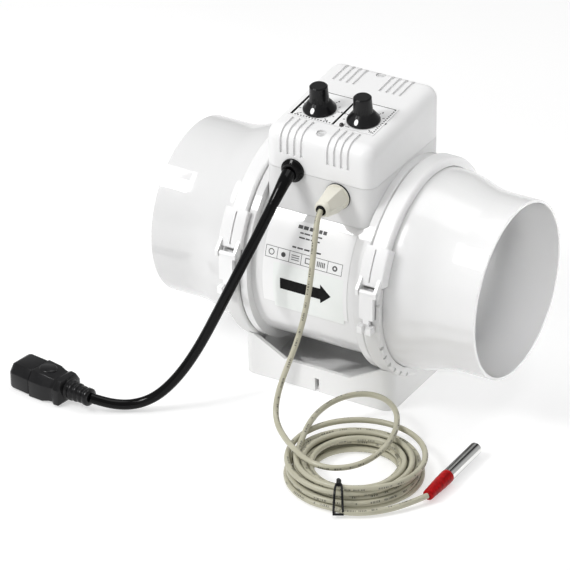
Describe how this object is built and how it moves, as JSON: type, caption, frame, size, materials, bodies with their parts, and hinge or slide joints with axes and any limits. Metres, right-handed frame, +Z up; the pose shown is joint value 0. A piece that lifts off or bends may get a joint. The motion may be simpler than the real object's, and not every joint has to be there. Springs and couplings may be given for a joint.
{
  "type": "inline duct fan",
  "caption": "Mixed-flow inline duct fan with clamped spigots, a mounting base, a control box with temperature and speed knobs, a mains lead and a coiled temperature sensor lead.",
  "frame": {"origin": "centre of the base's flat mounting face, under the middle of the duct", "axes": "+X along the duct axis towards the outlet, +Z up from the mounting face, -Y towards the front with the latches and leads"},
  "size_m": [0.3198, 0.2603, 0.2129],
  "materials": {
    "white_plastic": "satin white",
    "panel_white": "printed face",
    "seal_rubber": "soft grey",
    "steel": "zinc plated",
    "knob_black": "satin black",
    "black_rubber": "matt",
    "control_metal": "plain",
    "lamp_dark": "unlit lens",
    "board_green": "solder mask",
    "terminal_grey": "moulded",
    "capacitor_grey": "moulded",
    "heat_sink": "plain",
    "motor_white": "satin white",
    "core_steel": "laminated",
    "copper": "enamelled wire",
    "impeller_white": "satin white",
    "label_white": "printed film",
    "print_black": "print",
    "gland_beige": "moulded",
    "mains_black": "PVC",
    "sensor_beige": "PVC",
    "tie_black": "coated wire",
    "shrink_red": "shrunk sleeve",
    "probe_steel": "polished"
  },
  "bodies": {
    "housing": {"casing": "white_plastic", "inlet_spigot": "white_plastic", "outlet_spigot": "white_plastic", "base_bracket": "white_plastic", "box_base": "white_plastic", "box_lid": "white_plastic", "dial_panel": "panel_white", "inlet_seal": "seal_rubber", "outlet_seal": "seal_rubber", "inlet_hinge_pin": "steel", "outlet_hinge_pin": "steel", "lid_screws": "steel", "board_screws": "steel", "front_bearing": "steel", "rear_bearing": "steel", "mains_bushing": "black_rubber", "gland_washer": "black_rubber", "gland_seal": "black_rubber", "temperature_potentiometer": "control_metal", "speed_potentiometer": "control_metal", "indicator_lamp": "lamp_dark", "circuit_board": "board_green", "terminal_block": "terminal_grey", "run_capacitor": "capacitor_grey", "triac": "heat_sink", "motor_housing": "motor_white", "guide_vane_1": "motor_white", "guide_vane_2": "motor_white", "guide_vane_3": "motor_white", "guide_vane_4": "motor_white", "guide_vane_5": "motor_white", "guide_vane_6": "motor_white", "guide_vane_7": "motor_white", "stator_core": "core_steel", "stator_windings": "copper", "rating_label": "label_white", "flow_arrow": "print_black", "sensor_gland": "gland_beige", "mains_cord": "mains_black", "plug_boot": "mains_black", "plug_body": "mains_black", "sensor_lead": "sensor_beige", "sensor_coil": "sensor_beige", "sensor_tail": "sensor_beige", "coil_tie": "tie_black", "heat_shrink": "shrink_red", "probe_tip": "probe_steel"},
    "inlet_band": {"inlet_clamp_band": "white_plastic", "inlet_latch_pin": "steel"},
    "outlet_band": {"outlet_clamp_band": "white_plastic", "outlet_latch_pin": "steel"},
    "inlet_latch": {"inlet_latch": "white_plastic"},
    "outlet_latch": {"outlet_latch": "white_plastic"},
    "temperature_knob": {"temperature_knob": "knob_black", "temperature_spindle": "control_metal"},
    "speed_knob": {"speed_knob": "knob_black", "speed_spindle": "control_metal"},
    "rotor": {"impeller": "impeller_white", "motor_shaft": "steel", "rotor_core": "core_steel"}
  },
  "joints": [
    {"name": "rotor_spin", "type": "hinge", "parent": "housing", "child": "rotor", "pos_m": [0, 0, 0.087], "axis": [1, 0, 0], "continuous": true},
    {"name": "temperature_turn", "type": "hinge", "parent": "housing", "child": "temperature_knob", "pos_m": [-0.0165, -0.018, 0.19384], "axis": [0, -0.0872, 0.9962], "range_deg": [-270, 0]},
    {"name": "speed_turn", "type": "hinge", "parent": "housing", "child": "speed_knob", "pos_m": [0.0165, -0.018, 0.19384], "axis": [0, -0.0872, 0.9962], "range_deg": [-270, 0]},
    {"name": "inlet_band_open", "type": "hinge", "parent": "housing", "child": "inlet_band", "pos_m": [-0.0531, 0.07704, 0.06779], "axis": [-1, 0, 0], "range_deg": [0, 110]},
    {"name": "inlet_latch_open", "type": "hinge", "parent": "inlet_band", "child": "inlet_latch", "pos_m": [-0.0531, -0.07875, 0.1045], "axis": [-1, 0, 0], "range_deg": [0, 100]},
    {"name": "outlet_band_open", "type": "hinge", "parent": "housing", "child": "outlet_band", "pos_m": [0.0531, 0.07704, 0.06779], "axis": [-1, 0, 0], "range_deg": [0, 110]},
    {"name": "outlet_latch_open", "type": "hinge", "parent": "outlet_band", "child": "outlet_latch", "pos_m": [0.0531, -0.07875, 0.1045], "axis": [-1, 0, 0], "range_deg": [0, 100]}
  ]
}
